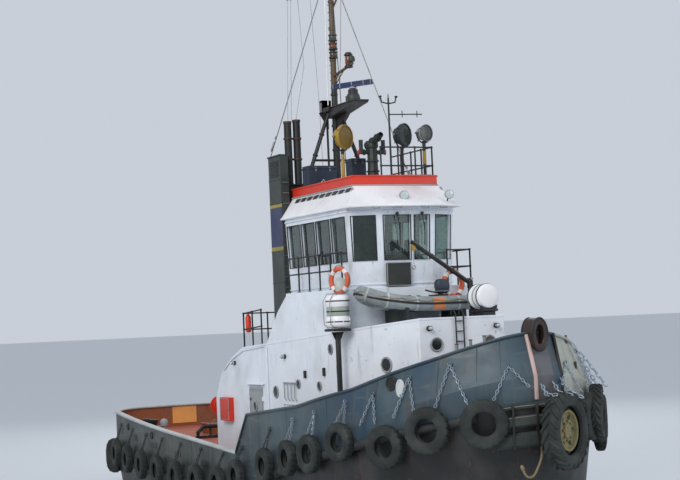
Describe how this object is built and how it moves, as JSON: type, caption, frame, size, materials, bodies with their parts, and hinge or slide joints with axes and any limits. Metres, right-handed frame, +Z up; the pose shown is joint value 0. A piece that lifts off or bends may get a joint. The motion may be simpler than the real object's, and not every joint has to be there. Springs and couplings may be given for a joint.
{
  "type": "tugboat",
  "caption": "Harbour tug afloat: black and slate hull hung with tyre fenders, white deckhouse and wheelhouse, mast with radar, funnel, tow winch, dinghy, propellers and rudders.",
  "frame": {"origin": "on the centreline at the waterline amidships, at the waterline mount", "axes": "+X forward to the bow, +Y to port, +Z up"},
  "size_m": [25.4936, 7.8124, 19.1008],
  "materials": {
    "hull_paint": "semi-gloss slate blue over black",
    "fender_black": "matt black paint",
    "dark_green": "dark grey-green paint",
    "white_paint": "gloss white paint with rust runs",
    "red_orange": "gloss red-orange paint",
    "orange_brown": "worn orange-brown paint",
    "mast_brown": "dark brown paint",
    "yellow_paint": "ochre yellow paint",
    "blue_black": "blue-black paint",
    "rubber": "matt worn rubber",
    "tyre_rubber": "worn tyre rubber",
    "dinghy_fabric": "matt grey coated fabric",
    "grey_paint": "grey paint",
    "bare_steel": "worn steel",
    "bronze": "polished bronze",
    "glass": "dark tinted glass"
  },
  "bodies": {
    "hull_body": {"hull": "hull_paint", "bulwark_aft": "dark_green", "bulwark_forward": "hull_paint", "side_fender_starboard": "tyre_rubber", "side_fender_port": "tyre_rubber", "stern_fender": "rubber", "bow_fender": "fender_black", "deckhouse_walls": "white_paint", "deckhouse_top": "white_paint", "tower": "white_paint", "wheelhouse_walls": "white_paint", "wheelhouse_glazing": "glass", "wheelhouse_roof": "white_paint", "roof_parapet": "red_orange", "funnel": "dark_green", "exhaust_casing": "fender_black", "mast": "mast_brown", "stay_forward": "bare_steel", "stay_starboard": "bare_steel", "stay_port": "bare_steel", "roof_gear_stand": "fender_black", "roof_lockers": "blue_black", "roof_rail": "fender_black", "walkway_rail_starboard": "fender_black", "walkway_rail_port": "fender_black", "house_rail": "fender_black", "dinghy": "dinghy_fabric", "outboard": "blue_black", "dinghy_cradle": "fender_black", "raft_post": "fender_black", "life_raft_starboard": "white_paint", "life_raft_port": "white_paint", "davit_post": "fender_black", "engine_block": "bare_steel", "tow_winch_frame": "fender_black", "hook_pedestal": "fender_black", "bitts_aft_starboard": "fender_black", "bitts_aft_port": "fender_black", "bow_bitts": "fender_black", "hatch_coaming": "orange_brown", "windlass_frame": "fender_black", "stem_fairlead": "mast_brown", "bow_tyre_large": "tyre_rubber", "bow_tyre_port": "tyre_rubber"},
    "door_starboard_leaf": {"door_starboard": "grey_paint"},
    "door_port_leaf": {"door_port": "grey_paint"},
    "radar": {"radar_scanner": "blue_black"},
    "light_aft": {"searchlight_aft": "yellow_paint"},
    "light_starboard": {"searchlight_starboard": "dark_green"},
    "light_port": {"searchlight_port": "grey_paint"},
    "monitor": {"monitor_head": "dark_green"},
    "davit": {"davit_boom": "fender_black"},
    "tow_drum": {"tow_winch_drum": "bare_steel"},
    "hook": {"towing_hook": "mast_brown"},
    "hatch": {"hatch_lid": "orange_brown"},
    "lass_drum": {"windlass_drum": "bare_steel"},
    "prop_starboard": {"propeller_starboard": "bronze"},
    "prop_port": {"propeller_port": "bronze"},
    "rudder_blade_port": {"rudder_port": "fender_black"},
    "rudder_blade_starboard": {"rudder_starboard": "fender_black"}
  },
  "joints": [
    {"name": "door_starboard_hinge", "type": "hinge", "parent": "hull_body", "child": "door_starboard_leaf", "pos_m": [-0.13, -2.046, 2.5], "axis": [0, 0, 1], "range_deg": [0, 110]},
    {"name": "door_port_hinge", "type": "hinge", "parent": "hull_body", "child": "door_port_leaf", "pos_m": [-0.13, 2.046, 2.5], "axis": [0, 0, -1], "range_deg": [0, 110]},
    {"name": "radar_spin", "type": "hinge", "parent": "hull_body", "child": "radar", "pos_m": [2.6, 0, 11.9], "axis": [0, 0, 1], "continuous": true},
    {"name": "light_aft_pan", "type": "hinge", "parent": "hull_body", "child": "light_aft", "pos_m": [3.75, -0.95, 10], "axis": [0, 0, 1], "range_deg": [-150, 150]},
    {"name": "light_starboard_pan", "type": "hinge", "parent": "hull_body", "child": "light_starboard", "pos_m": [4.62, 0.42, 10], "axis": [0, 0, 1], "range_deg": [-150, 150]},
    {"name": "light_port_pan", "type": "hinge", "parent": "hull_body", "child": "light_port", "pos_m": [4.62, 1.1, 10], "axis": [0, 0, 1], "range_deg": [-150, 150]},
    {"name": "monitor_pan", "type": "hinge", "parent": "hull_body", "child": "monitor", "pos_m": [3.55, 0.05, 9.75], "axis": [0, 0, 1], "range_deg": [-120, 120]},
    {"name": "davit_slew", "type": "hinge", "parent": "hull_body", "child": "davit", "pos_m": [6, 1.55, 6.1], "axis": [0, 0, 1], "range_deg": [0, 180]},
    {"name": "tow_drum_turn", "type": "hinge", "parent": "hull_body", "child": "tow_drum", "pos_m": [-5.3, 0, 2.2], "axis": [0, 1, 0], "continuous": true},
    {"name": "hook_swing", "type": "hinge", "parent": "hull_body", "child": "hook", "pos_m": [-7, 0, 2.25], "axis": [0, 0, 1], "range_deg": [-60, 60]},
    {"name": "hatch_hinge", "type": "hinge", "parent": "hull_body", "child": "hatch", "pos_m": [-8.56, 0, 2.0205], "axis": [0, 1, 0], "range_deg": [0, 100]},
    {"name": "windlass_turn", "type": "hinge", "parent": "hull_body", "child": "lass_drum", "pos_m": [9.4, 0, 3.75], "axis": [0, 1, 0], "continuous": true},
    {"name": "propeller_starboard_turn", "type": "hinge", "parent": "hull_body", "child": "prop_starboard", "pos_m": [-8.45, -1.3, -1.75], "axis": [1, 0, 0], "continuous": true},
    {"name": "propeller_port_turn", "type": "hinge", "parent": "hull_body", "child": "prop_port", "pos_m": [-8.45, 1.3, -1.75], "axis": [1, 0, 0], "continuous": true},
    {"name": "rudder_port_turn", "type": "hinge", "parent": "hull_body", "child": "rudder_blade_port", "pos_m": [-10.05, 1.3, -1.7], "axis": [0, 0, 1], "range_deg": [-35, 35]},
    {"name": "rudder_starboard_turn", "type": "hinge", "parent": "hull_body", "child": "rudder_blade_starboard", "pos_m": [-10.05, -1.3, -1.7], "axis": [0, 0, 1], "range_deg": [-35, 35]}
  ]
}
